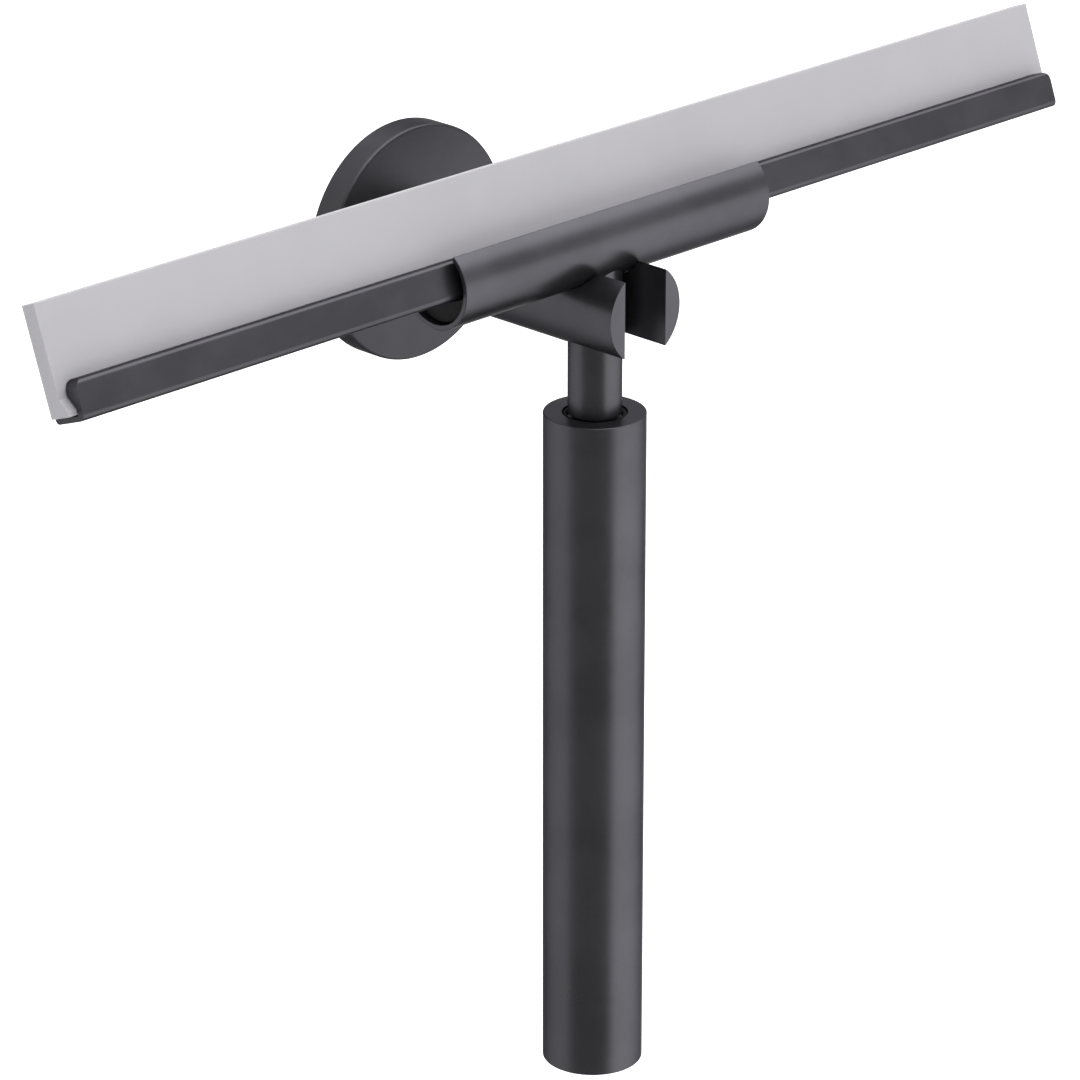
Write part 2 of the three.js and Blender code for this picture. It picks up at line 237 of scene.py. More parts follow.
@dataclass(frozen=True)
class Finish:
    """One finish, from its colour and gloss to the grain of its skin. All are real finishes except the
    cover's, a darker copy of the coat with shade painted into its colour.

    The colours are linear. tone_shift is how far the mottle moves the colour's brightness, and edge_tint is
    how bright a metal's skin turns where it is seen at a low angle.
    """

    name: str
    slot: Slot
    colour: tuple[float, float, float]
    roughness: float
    metallic: float = 0.0
    tone_shift: float = 0.08
    grain_scale: float = 4000.0
    grain_height: float = 0.01 * MM
    marks: float = 0.05
    dust: float = 0.02
    line_stretch: tuple[float, float, float] | None = None
    line_height: float = 0.004 * MM
    specular: float = 0.5
    edge_tint: float = 1.0
    subsurface: float = 0.0

    def material(self, effects: Effects) -> bpy.types.Material:
        """Builds the procedural material.

        Args:
            effects: The shared shader effects.

        Returns:
            The finished material.
        """
        made = bpy.data.materials.new(self.name)
        made.use_nodes = True
        tree = made.node_tree
        shader = tree.nodes["Principled BSDF"]
        shader.inputs["Metallic"].default_value = self.metallic
        shader.inputs["Specular IOR Level"].default_value = self.specular
        shader.inputs["Specular Tint"].default_value = (self.edge_tint, self.edge_tint, self.edge_tint, 1)
        if self.subsurface:
            shader.inputs["Subsurface Weight"].default_value = self.subsurface
            shader.inputs["Subsurface Radius"].default_value = SOFT_SCATTER
            shader.inputs["Subsurface Scale"].default_value = SCATTER_DEPTH
        place = tree.nodes.new("ShaderNodeTexCoord").outputs["Object"]
        grain = self.effect(tree, effects.grain, place, {"Scale": self.grain_scale})
        marks = self.effect(tree, effects.handling, place, {})
        colour = self.toned(tree, grain.outputs["Tone"], marks.outputs["Specks"])
        tree.links.new(colour, shader.inputs["Base Color"])
        gloss = self.worn(tree, grain.outputs["Tone"], marks.outputs["Mask"])
        tree.links.new(gloss, shader.inputs["Roughness"])
        normal = self.bump(tree, grain.outputs["Height"], self.grain_height, None)
        if self.line_stretch:
            squeeze = tree.nodes.new("ShaderNodeMapping")
            squeeze.inputs["Scale"].default_value = self.line_stretch
            tree.links.new(place, squeeze.inputs["Vector"])
            lines = self.effect(tree, effects.drawn_lines, squeeze.outputs["Vector"], {})
            normal = self.bump(tree, lines.outputs["Height"], self.line_height, normal)
        tree.links.new(normal, shader.inputs["Normal"])
        return made

    @staticmethod
    def effect(tree: bpy.types.NodeTree, group: bpy.types.ShaderNodeTree, place: bpy.types.NodeSocket,
               values: dict[str, float]) -> bpy.types.Node:
        """Places a shared effect in a material.

        Args:
            tree: The material's nodes.
            group: The effect.
            place: The position that it reads.
            values: Its own values by input.

        Returns:
            The effect's node.
        """
        node = tree.nodes.new("ShaderNodeGroup")
        node.node_tree = group
        tree.links.new(place, node.inputs["Vector"])
        for label, value in values.items():
            node.inputs[label].default_value = value
        return node

    def toned(self, tree: bpy.types.NodeTree, tone: bpy.types.NodeSocket,
              specks: bpy.types.NodeSocket) -> bpy.types.NodeSocket:
        """Mixes the colour's darker and lighter shades by the mottle, then adds pale specks of dust.

        Args:
            tree: The material's nodes.
            tone: The mottle.
            specks: Where the dust lies.

        Returns:
            The colour.
        """
        mottle = tree.nodes.new("ShaderNodeMix")
        mottle.data_type = "RGBA"
        shades = [[channel * (1 + way * self.tone_shift) for channel in self.colour] for way in (-1, 1)]
        mottle.inputs["A"].default_value = (*shades[0], 1)
        mottle.inputs["B"].default_value = (*shades[1], 1)
        tree.links.new(tone, mottle.inputs["Factor"])
        share = tree.nodes.new("ShaderNodeMath")
        share.operation = "MULTIPLY"
        share.inputs[1].default_value = self.dust
        tree.links.new(specks, share.inputs[0])
        dusty = tree.nodes.new("ShaderNodeMix")
        dusty.data_type = "RGBA"
        dusty.inputs["B"].default_value = DUST_COLOUR
        tree.links.new(share.outputs[0], dusty.inputs["Factor"])
        tree.links.new(mottle.outputs["Result"], dusty.inputs["A"])
        return dusty.outputs["Result"]

    def worn(self, tree: bpy.types.NodeTree, tone: bpy.types.NodeSocket,
             mask: bpy.types.NodeSocket) -> bpy.types.NodeSocket:
        """Varies the roughness with the mottle, and lowers it where the piece has been handled.

        Args:
            tree: The material's nodes.
            tone: The mottle.
            mask: Where it has been handled.

        Returns:
            The roughness.
        """
        spread = tree.nodes.new("ShaderNodeMapRange")
        spread.inputs["To Min"].default_value = self.roughness - self.marks / 2
        spread.inputs["To Max"].default_value = self.roughness + self.marks / 2
        tree.links.new(tone, spread.inputs["Value"])
        rubbed = tree.nodes.new("ShaderNodeMath")
        rubbed.operation = "MULTIPLY_ADD"
        rubbed.inputs[1].default_value = -self.marks
        tree.links.new(mask, rubbed.inputs[0])
        tree.links.new(spread.outputs["Result"], rubbed.inputs[2])
        return rubbed.outputs[0]

    @staticmethod
    def bump(tree: bpy.types.NodeTree, height: bpy.types.NodeSocket, distance: float,
             under: bpy.types.NodeSocket | None) -> bpy.types.NodeSocket:
        """Adds a bump.

        Args:
            tree: The material's nodes.
            height: The bump's pattern.
            distance: How high it stands.
            under: The normal that it lies over, if there is one.

        Returns:
            The new normal.
        """
        node = tree.nodes.new("ShaderNodeBump")
        node.inputs["Distance"].default_value = distance
        tree.links.new(height, node.inputs["Height"])
        if under is not None:
            tree.links.new(under, node.inputs["Normal"])
        return node.outputs["Normal"]


COAT = Finish("anthracite_coat", Slot.COAT, (0.117, 0.115, 0.128), 0.33, metallic=0.9,
              grain_height=0.006 * MM, edge_tint=0.25)
# The cover's coat is the same anthracite paint as COAT. Its colour is made darker as painted shade, standing
# for the shade that the wall and the arm throw on the cover. It is also rougher.
SHADED_COVER_COAT = Finish("anthracite_coat_painted_shade", Slot.COAT, (0.093, 0.092, 0.102), 0.42, metallic=0.9,
                    grain_height=0.006 * MM, edge_tint=0.25)
CHANNEL_COAT = Finish("anthracite_anodised", Slot.CHANNEL, (0.104, 0.102, 0.113), 0.33, metallic=0.9,
                      grain_height=0.004 * MM, line_stretch=(0.02, 1, 1), edge_tint=0.25)
SILICONE = Finish("grey_silicone", Slot.SILICONE, (0.535, 0.525, 0.558), 0.5, tone_shift=0.015,
                  grain_scale=2500.0, grain_height=0.008 * MM, marks=0.08, dust=0.01,
                  line_stretch=(0.03, 1, 1), subsurface=0.15)
STEEL = Finish("stainless_steel", Slot.STEEL, (0.56, 0.56, 0.57), 0.3, metallic=1.0, tone_shift=0.05,
               grain_height=0.003 * MM, line_stretch=(1, 1, 0.05))
RUBBER = Finish("black_seal_rubber", Slot.RUBBER, (0.008, 0.008, 0.009), 0.85, grain_height=0.01 * MM,
                specular=0.2)
PLASTIC = Finish("black_moulding", Slot.PLASTIC, (0.011, 0.011, 0.013), 0.6, grain_scale=2600.0,
                 grain_height=0.02 * MM, specular=0.25)


class FinishShop:
    """Builds each finish once and dresses the pieces."""

    def __init__(self) -> None:
        """Builds the shared effects; the materials follow when they are first used."""
        self.effects = Effects()
        self.made: dict[str, bpy.types.Material] = {}

    def dress(self, piece: bpy.types.Object, finish: Finish) -> None:
        """Gives a piece a finish as its only material.

        Args:
            piece: The piece.
            finish: Its finish.
        """
        if finish.name not in self.made:
            self.made[finish.name] = finish.material(self.effects)
        piece.data.materials.clear()
        piece.data.materials.append(self.made[finish.name])

    def deliver(self, piece: bpy.types.Object, finish: Finish, body: Body, *nodes: str) -> None:
        """Dresses a new piece, sets it to ride on its body and lets it stand for CAD nodes.

        Args:
            piece: The piece.
            finish: Its finish.
            body: The body that it moves with.
            *nodes: The CAD nodes that it replaces.
        """
        self.dress(piece, finish)
        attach(piece, body.value)
        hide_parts(*nodes)
        LOG.info("%s: %d faces, %s", piece.name, len(piece.data.polygons), finish.name)


# ---------------------------------------------------------------- modelling moves


FaceTest = Callable[[Vector, Vector], bool]


class Bench:
    """Modelling moves made by hand: primitives, edit-mode operators and applied modifiers."""

    @staticmethod
    def clear() -> None:
        """Deselects everything."""
        bpy.ops.object.select_all(action="DESELECT")

    @staticmethod
    def activate(piece: bpy.types.Object) -> None:
        """Selects one piece alone and makes it the active one."""
        Bench.clear()
        piece.select_set(True)
        bpy.context.view_layer.objects.active = piece

    @staticmethod
    def named(name: str) -> bpy.types.Object:
        """Names the new primitive and moves its place into its mesh.

        Args:
            name: The piece's name.

        Returns:
            The piece.
        """
        piece = bpy.context.active_object
        piece.name = name
        piece.data.name = name
        bpy.ops.object.transform_apply(location=True, rotation=True, scale=True)
        return piece

    @staticmethod
    def round_bar(name: str, radius: float, centre: Vector, length: float, axis: Axis, sides: int = 96,
                  caps: bool = True) -> bpy.types.Object:
        """Adds a cylinder.

        Args:
            name: The piece's name.
            radius: Its radius.
            centre: The middle of the bar.
            length: Its length along the axis.
            axis: The row axis that it lies along.
            sides: Faces round it.
            caps: Whether the ends are closed.

        Returns:
            The new piece.
        """
        Bench.clear()
        bpy.ops.mesh.primitive_cylinder_add(vertices=sides, radius=radius, depth=length, location=centre,
                                            rotation=axis.value, end_fill_type="NGON" if caps else "NOTHING")
        return Bench.named(name)

    @staticmethod
    def block(name: str, low: Vector, high: Vector) -> bpy.types.Object:
        """Adds a box.

        Args:
            name: The piece's name.
            low: Its corner with the lowest values.
            high: Its corner with the highest values.

        Returns:
            The new piece.
        """
        Bench.clear()
        bpy.ops.mesh.primitive_cube_add(size=1, location=(low + high) / 2, scale=high - low)
        return Bench.named(name)

    @staticmethod
    def pick_faces(piece: bpy.types.Object, test: FaceTest) -> None:
        """Opens a piece in edit mode with only the faces that pass a test selected.

        Args:
            piece: The piece.
            test: Takes a face's middle and normal.
        """
        if bpy.context.mode != "EDIT_MESH":
            Bench.activate(piece)
            bpy.ops.object.mode_set(mode="EDIT")
        bpy.ops.mesh.select_mode(type="FACE")
        mesh = bmesh.from_edit_mesh(piece.data)
        mesh.normal_update()
        for face in mesh.faces:
            face.select_set(test(face.calc_center_median(), face.normal))
        mesh.select_flush_mode()
        bmesh.update_edit_mesh(piece.data)

    @staticmethod
    def close() -> None:
        """Leaves edit mode."""
        bpy.ops.object.mode_set(mode="OBJECT")

    @staticmethod
    def extrude(x: float = 0.0, y: float = 0.0, z: float = 0.0) -> None:
        """Extrudes what is selected by an offset."""
        bpy.ops.mesh.extrude_region_move(TRANSFORM_OT_translate={"value": (x, y, z)})

    @staticmethod
    def sink(piece: bpy.types.Object, test: FaceTest, rim: float, offset: Vector) -> None:
        """Insets an end face, then pushes it in or out.

        Args:
            piece: The piece.
            test: Picks the face by its middle and normal.
            rim: How far it is inset.
            offset: How far it is pushed.
        """
        Bench.pick_faces(piece, test)
        bpy.ops.mesh.inset(thickness=rim, depth=0)
        Bench.extrude(*offset)
        Bench.close()

    @staticmethod
    def apply(piece: bpy.types.Object, kind: str, **settings: object) -> None:
        """Adds a modifier with its settings and applies it.

        Args:
            piece: The piece.
            kind: The modifier's type.
            **settings: Its properties.
        """
        Bench.activate(piece)
        modifier = piece.modifiers.new(kind.title(), kind)
        for label, value in settings.items():
            setattr(modifier, label, value)
        bpy.ops.object.modifier_apply(modifier=modifier.name)

    @staticmethod
    def ease_edges(piece: bpy.types.Object, width: float, segments: int = 3, angle: float = 32.0) -> None:
        """Rounds every edge sharper than an angle.

        Args:
            piece: The piece.
            width: The rounding's width.
            segments: Steps in the rounding.
            angle: The angle, in degrees.
        """
        Bench.apply(piece, "BEVEL", width=width, segments=segments, limit_method="ANGLE",
                    angle_limit=radians(angle), profile=0.6)

    @staticmethod
    def carve(piece: bpy.types.Object, *cutters: bpy.types.Object) -> None:
        """Cuts a piece by each cutter in turn, and clears the cutters away.

        Args:
            piece: The piece.
            *cutters: The cutters.
        """
        for cutter in cutters:
            Bench.apply(piece, "BOOLEAN", operation="DIFFERENCE", solver="EXACT", object=cutter)
            bpy.data.objects.remove(cutter)

    @staticmethod
    def polish(piece: bpy.types.Object, angle: float = 35.0) -> None:
        """Shades a finished piece smooth, with its flat faces kept flat.

        Args:
            piece: The piece.
            angle: The sharpest edge that is shaded smooth, in degrees.
        """
        Bench.activate(piece)
        bpy.ops.object.shade_smooth_by_angle(angle=radians(angle))
        Bench.apply(piece, "WEIGHTED_NORMAL", keep_sharp=True, weight=80)

    @staticmethod
    def lean(piece: bpy.types.Object, angle: float, about: Vector) -> None:
        """Leans a piece back towards the wall about a line along X.

        Args:
            piece: The piece.
            angle: How far it leans, in radians.
            about: A point on the line.
        """
        Bench.activate(piece)
        bpy.ops.object.mode_set(mode="EDIT")
        bpy.ops.mesh.select_all(action="SELECT")
        bpy.ops.transform.rotate(value=angle, orient_axis="X", center_override=about)
        Bench.close()

    @staticmethod
    def stadium(name: str, radius: float, centre: Vector, length: float, axis: Axis, pull: Vector,
                sides: int = 96) -> bpy.types.Object:
        """Makes a bar whose section is a half circle drawn out straight to one side, to cut slots with.

        Args:
            name: The piece's name.
            radius: Half its width.
            centre: The middle of its round end.
            length: Its length along the axis.
            axis: The row axis that it lies along.
            pull: How far the straight part runs.
            sides: Faces round the whole circle.

        Returns:
            The new piece.
        """
        bar = Bench.round_bar(name, radius, centre, length, axis, sides)
        way = pull.normalized()
        Bench.pick_faces(bar, lambda middle, normal: (middle - centre).dot(way) > WELD
                         and abs(normal.dot(way)) > 0.001)
        Bench.extrude(*pull)
        Bench.close()
        return bar


class SectionPen:
    """Draws a drawn bar's end outline from one vertex, by straight and round strokes in the Y-Z plane."""

    def __init__(self, name: str, x: float, start: tuple[float, float], tilt: float, hub: Vector) -> None:
        """Puts the pen down.

        Args:
            name: The piece's name.
            x: Where the outline's plane lies.
            start: The first point, as (across, up) before the tilt.
            tilt: How far the section leans back to the wall, in radians.
            hub: The point that it leans about.
        """
        self.x, self.tilt, self.hub = x, tilt, hub
        Bench.clear()
        bpy.ops.mesh.primitive_plane_add(size=MM, location=self.at(*start))
        self.piece = Bench.named(name)
        bpy.ops.object.mode_set(mode="EDIT")
        bpy.ops.mesh.select_mode(type="VERT")
        bpy.ops.mesh.select_all(action="SELECT")
        bpy.ops.mesh.merge(type="CENTER")
        self.place = self.at(*start)

    def at(self, across: float, up: float) -> Vector:
        """Finds a point of the section in the row frame.

        Args:
            across: How far it lies towards the wall before the tilt.
            up: How far it lies above the hub before the tilt.

        Returns:
            The point.
        """
        back = across * cos(self.tilt) + up * sin(self.tilt)
        rise = up * cos(self.tilt) - across * sin(self.tilt)
        return Vector((self.x, self.hub.y + back, self.hub.z + rise))

    def local(self) -> Vector:
        """Where the pen is, as (across, up)."""
        back, rise = self.place.y - self.hub.y, self.place.z - self.hub.z
        across = back * cos(self.tilt) - rise * sin(self.tilt)
        up = back * sin(self.tilt) + rise * cos(self.tilt)
        return Vector((across, up))

    def line(self, across: float, up: float) -> None:
        """Draws a straight stroke to a point."""
        target = self.at(across, up)
        Bench.extrude(*(target - self.place))
        self.place = target

    def arc(self, sweep: float, steps: int, centre: tuple[float, float] = (0.0, 0.0)) -> None:
        """Draws a round stroke.

        Args:
            sweep: How far it turns, in degrees; a positive angle runs from +Y towards +Z.
            steps: Straight pieces in it.
            centre: What it turns about, as (across, up).
        """
        middle = self.at(*centre)
        turn = radians(sweep)
        bpy.ops.mesh.spin(steps=steps, angle=-turn, center=middle, axis=(1, 0, 0))
        offset = self.place - middle
        self.place = middle + Vector((0, offset.y * cos(turn) - offset.z * sin(turn),
                                      offset.y * sin(turn) + offset.z * cos(turn)))

    def draw_out(self, length: float) -> bpy.types.Object:
        """Closes the outline, fills it and draws it out along X.

        Args:
            length: How long the bar is.

        Returns:
            The finished bar.
        """
        bpy.ops.mesh.select_all(action="SELECT")
        bpy.ops.mesh.remove_doubles(threshold=WELD)
        bpy.ops.mesh.edge_face_add()
        Bench.extrude(x=length)
        bpy.ops.mesh.select_all(action="SELECT")
        bpy.ops.mesh.normals_make_consistent(inside=False)
        Bench.close()
        return self.piece


# ---------------------------------------------------------------- sub-assemblies


@dataclass(frozen=True)
class Place:
    """Where a CAD node is."""

    low: Vector
    high: Vector

    @classmethod
    def of(cls, node: str) -> "Place":
        """Measures a CAD node's box."""
        return cls(*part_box(node))

    @property
    def centre(self) -> Vector:
        """The middle of the box."""
        return (self.low + self.high) / 2

    @property
    def size(self) -> Vector:
        """The box's width, depth and height."""
        return self.high - self.low

    @property
    def tube_axis(self) -> Vector:
        """A point on the axis of a tube along X that is open above, so that its depth gives its radius."""
        return Vector((0, self.centre.y, self.low.z + self.size.y / 2))


@dataclass
class WallHolder:
    """The wall plate, its cover and the forked arm."""

    shop: FinishShop
    clearance: float = 0.3 * MM
    cover_wall: float = 1.6 * MM
    cover_edge: float = 0.7 * MM
    arm_edge: float = 0.35 * MM
    plate_thickness: float = 4.0 * MM
    plate_edge: float = 0.3 * MM
    boss_radius: float = 6.0 * MM
    plate_screw_spread: float = 14.0 * MM
    plate_screw_radius: float = 2.3 * MM
    socket_width: float = 2.5 * MM
    socket_depth: float = 2.0 * MM
    past: float = 1.0 * MM
    arm: Place = field(default_factory=lambda: Place.of("fork_arm"))
    neck: Place = field(default_factory=lambda: Place.of("neck_rod"))
    sleeve: Place = field(default_factory=lambda: Place.of("head_sleeve"))

    def build(self) -> None:
        """Makes the holder's pieces that show."""
        self.cover()
        self.fork()
        self.plate()
        self.grub_screw()

    def cover(self) -> None:
        """A shallow round cap with an eye for the arm."""
        box = Place.of("rosette_cover")
        radius, depth = box.size.x / 2, box.size.y
        eye = self.arm.size.x / 2 + self.clearance
        cap = Bench.round_bar("rosette_cap", radius, box.centre, depth, Axis.Y, sides=160)
        Bench.sink(cap, lambda _, normal: normal.y > FACING, self.cover_wall,
                   Vector((0, self.cover_wall - depth, 0)))
        for side in (-1, 1):
            Bench.pick_faces(cap, lambda middle, normal: normal.y * side > FACING
                             and abs(middle.x) < MM and abs(middle.z) < MM)
            rim = radius - eye if side < 0 else radius - self.cover_wall - eye
            bpy.ops.mesh.inset(thickness=rim, depth=0)
            Bench.close()
        Bench.pick_faces(cap, lambda middle, normal: abs(normal.y) > FACING
                         and hypot(middle.x, middle.z) < eye / 2)
        bpy.ops.mesh.bridge_edge_loops()
        Bench.close()
        Bench.ease_edges(cap, self.cover_edge, segments=4)
        Bench.polish(cap)
        # The cover takes the darker copy of the coat: painted shade for the wall and the arm.
        self.shop.deliver(cap, SHADED_COVER_COAT, Body.HOLDER, "rosette_cover")

    def fork(self) -> None:
        """The arm: a round bar slotted from its end for the neck, with a saddle across it for the sleeve."""
        radius = self.arm.size.x / 2
        bar = Bench.round_bar("fork_bar", radius, self.arm.centre, self.arm.size.y, Axis.Y, sides=96)
        slot = self.neck.size.x / 2 + self.clearance
        neck_axis = Vector((0, self.neck.centre.y, 0))
        tall = 2 * (radius + self.past)
        slot_cutter = Bench.stadium("slot_cutter", slot, neck_axis, tall, Axis.Z,
                                    Vector((0, self.arm.low.y - self.past - neck_axis.y, 0)), sides=64)
        seat = self.sleeve.size.y / 2 + self.clearance / 2
        saddle_cutter = Bench.stadium("saddle_cutter", seat, self.sleeve.tube_axis, tall, Axis.X,
                                      Vector((0, 0, tall)), sides=72)
        Bench.carve(bar, saddle_cutter, slot_cutter)
        Bench.ease_edges(bar, self.arm_edge)
        screw = Place.of("holder_grub_screw")
        hole = Bench.round_bar("grub_hole", screw.size.x / 2 + self.clearance / 2, screw.centre,
                               screw.size.z + 2 * self.past, Axis.Z, sides=32)
        Bench.carve(bar, hole)
        Bench.polish(bar)
        self.shop.deliver(bar, COAT, Body.HOLDER, "fork_arm")

    def plate(self) -> None:
        """The wall plate: a disc with a boss, and two screw holes."""
        box = Place.of("wall_plate")
        disc = Bench.round_bar("plate_disc", box.size.x / 2, Vector((0, -self.plate_thickness / 2, 0)),
                               self.plate_thickness, Axis.Y, sides=96)
        Bench.sink(disc, lambda _, normal: normal.y < -FACING, box.size.x / 2 - self.boss_radius,
                   Vector((0, self.plate_thickness - box.size.y, 0)))
        Bench.ease_edges(disc, self.plate_edge)
        for side in (-1, 1):
            spot = Vector((side * self.plate_screw_spread, -self.plate_thickness / 2, 0))
            hole = Bench.round_bar("screw_hole", self.plate_screw_radius, spot, 3 * self.plate_thickness,
                                   Axis.Y, sides=48)
            Bench.carve(disc, hole)
        Bench.polish(disc)
        self.shop.deliver(disc, STEEL, Body.HOLDER, "wall_plate")

    def grub_screw(self) -> None:
        """The headless screw under the arm, with its hexagonal socket."""
        screw = socket_screw("arm_grub", Place.of("holder_grub_screw"), self.socket_width, self.socket_depth)
        self.shop.deliver(screw, STEEL, Body.HOLDER, "holder_grub_screw")


def socket_screw(name: str, box: Place, across_flats: float, depth: float) -> bpy.types.Object:
    """Makes a headless screw along Z with a hexagonal socket in its lower end.

    Args:
        name: The piece's name.
        box: Where it is.
        across_flats: The socket's width.
        depth: The socket's depth.

    Returns:
        The new piece.
    """
    screw = Bench.round_bar(name, box.size.x / 2, box.centre, box.size.z, Axis.Z, sides=48)
    Bench.ease_edges(screw, SCREW_EDGE, segments=2)
    floor = Vector((box.centre.x, box.centre.y, box.low.z))
    socket = Bench.round_bar("socket", across_flats / sqrt(3), floor, 2 * depth, Axis.Z, sides=6)
    Bench.carve(screw, socket)
    Bench.polish(screw)
    return screw


@dataclass
class Head:
    """The sleeve, its insert, the channel and the blade.

    Sections are drawn as (across, up) before they lean: the tilt turns them back towards the wall.
    """

    shop: FinishShop
    tilt: float = radians(20)
    mouth: float = radians(116)
    sleeve_wall: float = 1.1 * MM
    trough_sides: int = 108
    insert_wrap: float = 230.0
    forward: float = 0.6 * MM
    front: float = 5.6 * MM
    drop: float = 3.4 * MM
    channel_wall: float = 1.1 * MM
    corner: float = 1.0 * MM
    front_corner: float = 1.3 * MM
    lip_height: float = 4.7 * MM
    lip_depth: float = 0.7 * MM
    lip_gap: float = 0.08 * MM
    lip_end_radius: float = 2.2 * MM
    blade_half: float = 1.9 * MM
    blade_height: float = 20.5 * MM
    heel_reach: float = 3.7 * MM
    heel_shoulder: float = -0.9 * MM
    heel_top: float = 1.577 * MM
    clearance: float = 0.3 * MM
    corner_steps: int = 6
    sleeve_edge: float = 0.3 * MM
    insert_edge: float = 0.2 * MM
    channel_edge: float = 0.15 * MM
    blade_edge: float = 0.2 * MM
    socket_width: float = 2.0 * MM
    socket_depth: float = 1.6 * MM
    sleeve: Place = field(default_factory=lambda: Place.of("head_sleeve"))

    @property
    def hub(self) -> Vector:
        """A point on the sleeve's axis."""
        return self.sleeve.tube_axis

    @property
    def channel_hub(self) -> Vector:
        """A point on the channel's middle line, which lies a little in front of the sleeve's axis."""
        return self.hub - Vector((0, self.forward, 0))

    def build(self) -> None:
        """Makes the head's pieces."""
        self.sleeve_tube()
        self.insert_trough()
        self.channel()
        self.blade()
        self.grub_screws()

    def sleeve_tube(self) -> None:
        """The sleeve that lies in the saddle: a tube with a mouth along its top."""
        size = self.sleeve.size
        tube = Bench.round_bar("sleeve_tube", size.y / 2, self.hub, size.x, Axis.X, self.trough_sides,
                               caps=False)
        way = Vector((0, sin(self.tilt), cos(self.tilt)))
        bound = cos(self.mouth / 2)
        Bench.pick_faces(tube, lambda middle, normal: normal.dot(way) > bound)
        bpy.ops.mesh.delete(type="FACE")
        bpy.ops.mesh.select_all(action="SELECT")
        bpy.ops.mesh.remove_doubles(threshold=WELD)
        Bench.close()
        Bench.apply(tube, "SOLIDIFY", thickness=self.sleeve_wall, offset=-1)
        Bench.ease_edges(tube, self.sleeve_edge)
        Bench.carve(tube, *self.screw_cutters())
        Bench.polish(tube)
        self.shop.deliver(tube, COAT, Body.SQUEEGEE, "head_sleeve")

    def screw_cutters(self) -> list[bpy.types.Object]:
        """Cutters for the two channel screws' holes."""
        boxes = [Place.of(f"channel_grub_{side}") for side in ("left", "right")]
        return [Bench.round_bar("screw_cutter", (box.size.x + self.clearance) / 2,
                                box.centre - Vector((0, 0, box.size.z / 2)), 3 * box.size.z, Axis.Z, sides=32)
                for box in boxes]

    def outside(self, pen: SectionPen, clearance: float, centre: tuple[float, float] = (0.0, 0.0)) -> None:
        """Draws the channel's outside from its front down, round below and to the foot of its back.

        Args:
            pen: A pen that stands on the channel's flat front.
            clearance: How far outside the channel the stroke runs.
            centre: The channel's middle in the pen's section.
        """
        across, up = centre
        front, low = across - self.front - clearance, up - self.drop - clearance
        back = across + self.blade_half + self.clearance + self.channel_wall + clearance
        front_rounding, back_rounding = self.front_corner + clearance, self.corner + clearance
        pen.line(front, low + front_rounding)
        pen.arc(90, self.corner_steps, (front + front_rounding, low + front_rounding))
        pen.line(back - back_rounding, low)
        pen.arc(90, self.corner_steps, (back - back_rounding, low + back_rounding))

    def insert_trough(self) -> None:
        """The moulding that fills the sleeve and holds the channel."""
        length = Place.of("sleeve_insert").size.x
        radius = self.sleeve.size.y / 2 - self.sleeve_wall - self.clearance
        half = radians(self.insert_wrap / 2)
        top = -radius * cos(half)
        shift = (-self.forward * cos(self.tilt), -self.forward * sin(self.tilt))
        front = shift[0] - self.front - self.clearance
        pen = SectionPen("insert_trough", -length / 2, (front, top), self.tilt, self.hub)
        self.outside(pen, self.clearance, shift)
        pen.line(pen.local().x, top)
        pen.line(radius * sin(half), top)
        pen.arc(-self.insert_wrap, self.trough_sides // 2)
        trough = pen.draw_out(length)
        Bench.ease_edges(trough, self.insert_edge)
        Bench.carve(trough, *self.screw_cutters())
        Bench.polish(trough)
        self.shop.deliver(trough, PLASTIC, Body.SQUEEGEE, "sleeve_insert")

    def channel(self) -> None:
        """The channel: round in front, flat behind and below, with two lips that close on the blade."""
        length = Place.of("blade_channel").size.x
        lip, gap = self.lip_height, self.clearance
        inside = self.blade_half + gap
        floor = self.channel_wall - self.drop
        shoulder = (self.corner - self.front, lip - self.corner)
        start = (shoulder[0], lip)
        pen = SectionPen("channel_bar", -length / 2, start, self.tilt, self.channel_hub)
        pen.arc(90, self.corner_steps, shoulder)
        self.outside(pen, 0.0)
        closed = self.blade_half + self.lip_gap
        for across, up in (
                (inside + self.channel_wall, lip), (closed, lip), (closed, lip - self.lip_depth),
                (inside, lip - self.lip_depth - gap), (inside, floor), (-self.heel_reach - gap, floor),
                (-self.heel_reach - gap, self.heel_shoulder + gap), (-inside, self.heel_top + gap),
                (-inside, lip - self.lip_depth - gap), (-closed, lip - self.lip_depth), (-closed, lip),
                start):
            pen.line(across, up)
        bar = pen.draw_out(length)
        Bench.carve(bar, *[self.end_cutter(side * length / 2) for side in (-1, 1)])
        Bench.ease_edges(bar, self.channel_edge)
        Bench.polish(bar)
        self.shop.deliver(bar, CHANNEL_COAT, Body.SQUEEGEE, "blade_channel")

    def end_cutter(self, end: float) -> bpy.types.Object:
        """A cutter that rounds the lips' corners at one end of the channel.

        Args:
            end: Where the channel ends along X.

        Returns:
            The cutter, leaning as the channel does.
        """
        radius, half_width, hub = self.lip_end_radius, 1.5 * self.front, self.channel_hub
        top = hub.z + self.lip_height - radius
        middle = Vector((end - radius if end > 0 else end + radius, hub.y, top))
        low = Vector((end - radius, hub.y - half_width, top))
        high = Vector((end + radius, hub.y + half_width, top + 2 * radius))
        cutter = Bench.block("end_cutter", low, high)
        Bench.carve(cutter, Bench.round_bar("end_round", radius, middle, 4 * half_width, Axis.Y, sides=64))
        Bench.lean(cutter, self.tilt, hub)
        return cutter

